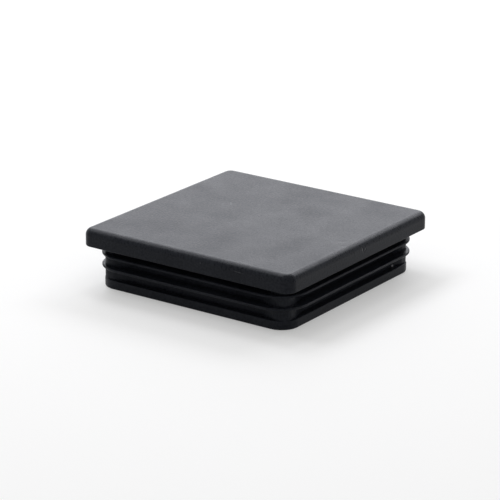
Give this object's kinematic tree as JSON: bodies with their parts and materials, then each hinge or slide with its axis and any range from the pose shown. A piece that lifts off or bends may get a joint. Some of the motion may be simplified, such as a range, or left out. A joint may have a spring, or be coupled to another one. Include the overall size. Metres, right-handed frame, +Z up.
{
  "type": "tube end cap",
  "caption": "Square push-in tube end cap with a rounded flat head and a finned hollow skirt that grips inside the tube.",
  "frame": {"origin": "centre of the skirt's foot, in the plane that the cap rests on", "axes": "+Z up through the head, X and Y square to the sides"},
  "size_m": [0.1, 0.1, 0.0246],
  "materials": {
    "black_plastic": "fine matte grain"
  },
  "bodies": {
    "root": {"end_cap": "black_plastic"}
  },
  "joints": []
}
